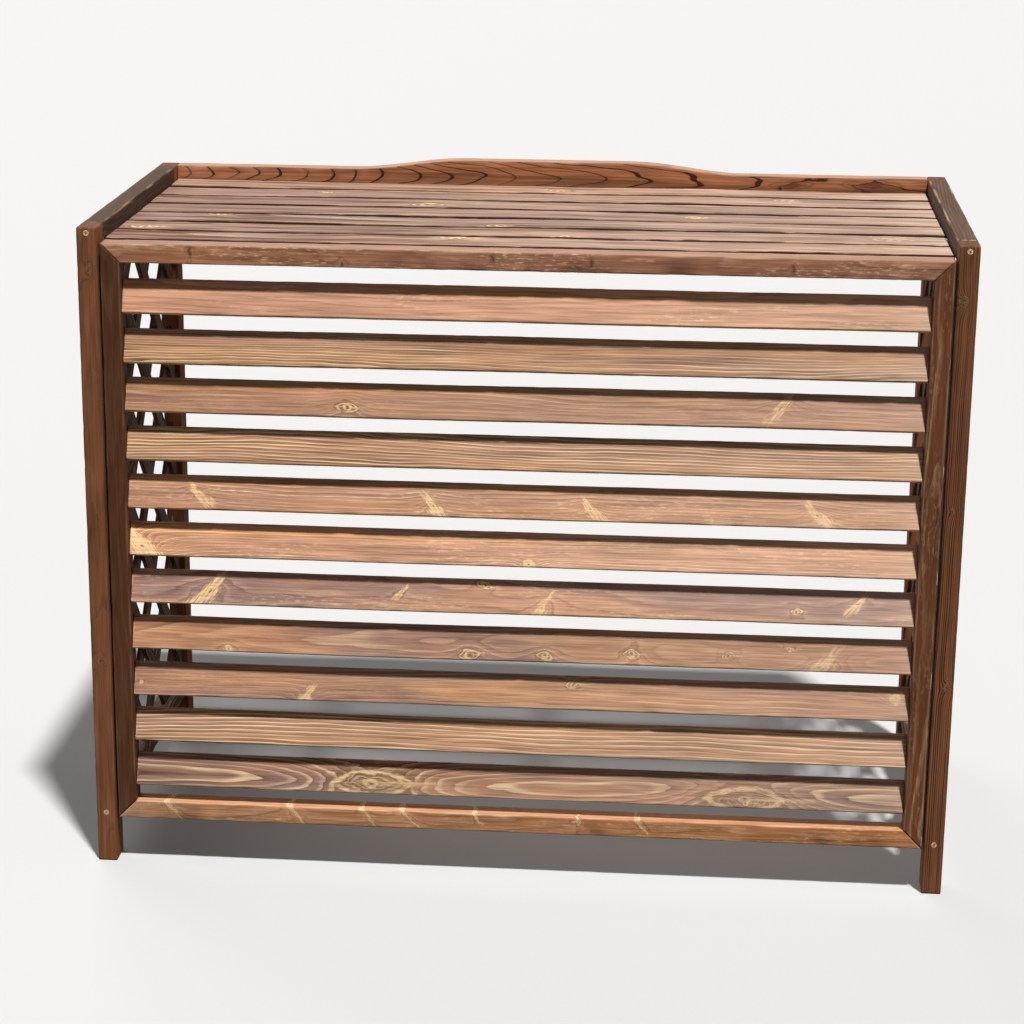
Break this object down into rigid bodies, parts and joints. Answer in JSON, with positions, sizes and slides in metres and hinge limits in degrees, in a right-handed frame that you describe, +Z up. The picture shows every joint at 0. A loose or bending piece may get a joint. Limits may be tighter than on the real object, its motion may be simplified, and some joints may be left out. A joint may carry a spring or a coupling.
{
  "type": "air conditioner screen",
  "caption": "Wooden screen that stands over an outdoor air conditioner, with a louvred front, lattice sides, a slatted top and an open back.",
  "frame": {"origin": "on the ground, under the middle of the screen", "axes": "+X to the right seen from the louvred front, +Y from the front to the open back, +Z up"},
  "size_m": [1.1, 0.55, 0.854],
  "materials": {
    "side_wood": "dark brown stained, weathered",
    "lattice_wood": "dark brown stained, weathered",
    "frame_wood": "brown stained, flaking",
    "louvre_wood": "brown stained, bleached by the sun",
    "deck_wood": "brown stained, bleached grey",
    "back_wood": "orange-brown stained",
    "screw_steel": "plain steel"
  },
  "bodies": {
    "root": {"left_front_post": "side_wood", "left_back_post": "side_wood", "left_top_rail": "side_wood", "left_bottom_rail": "side_wood", "left_lattice": "lattice_wood", "left_top_screw": "screw_steel", "left_bottom_screw": "screw_steel", "right_front_post": "side_wood", "right_back_post": "side_wood", "right_top_rail": "side_wood", "right_bottom_rail": "side_wood", "right_lattice": "lattice_wood", "right_top_screw": "screw_steel", "right_bottom_screw": "screw_steel", "front_top_rail": "frame_wood", "front_bottom_rail": "frame_wood", "front_left_stile": "frame_wood", "front_right_stile": "frame_wood", "louvre_01": "louvre_wood", "louvre_02": "louvre_wood", "louvre_03": "louvre_wood", "louvre_04": "louvre_wood", "louvre_05": "louvre_wood", "louvre_06": "louvre_wood", "louvre_07": "louvre_wood", "louvre_08": "louvre_wood", "louvre_09": "louvre_wood", "louvre_10": "louvre_wood", "louvre_11": "louvre_wood", "deck_slat_1": "deck_wood", "deck_slat_2": "deck_wood", "deck_slat_3": "deck_wood", "deck_slat_4": "deck_wood", "deck_slat_5": "deck_wood", "deck_slat_6": "deck_wood", "deck_slat_7": "deck_wood", "deck_batten_1": "side_wood", "deck_batten_2": "side_wood", "deck_batten_3": "side_wood", "deck_batten_4": "side_wood", "back_rail": "back_wood"}
  },
  "joints": []
}
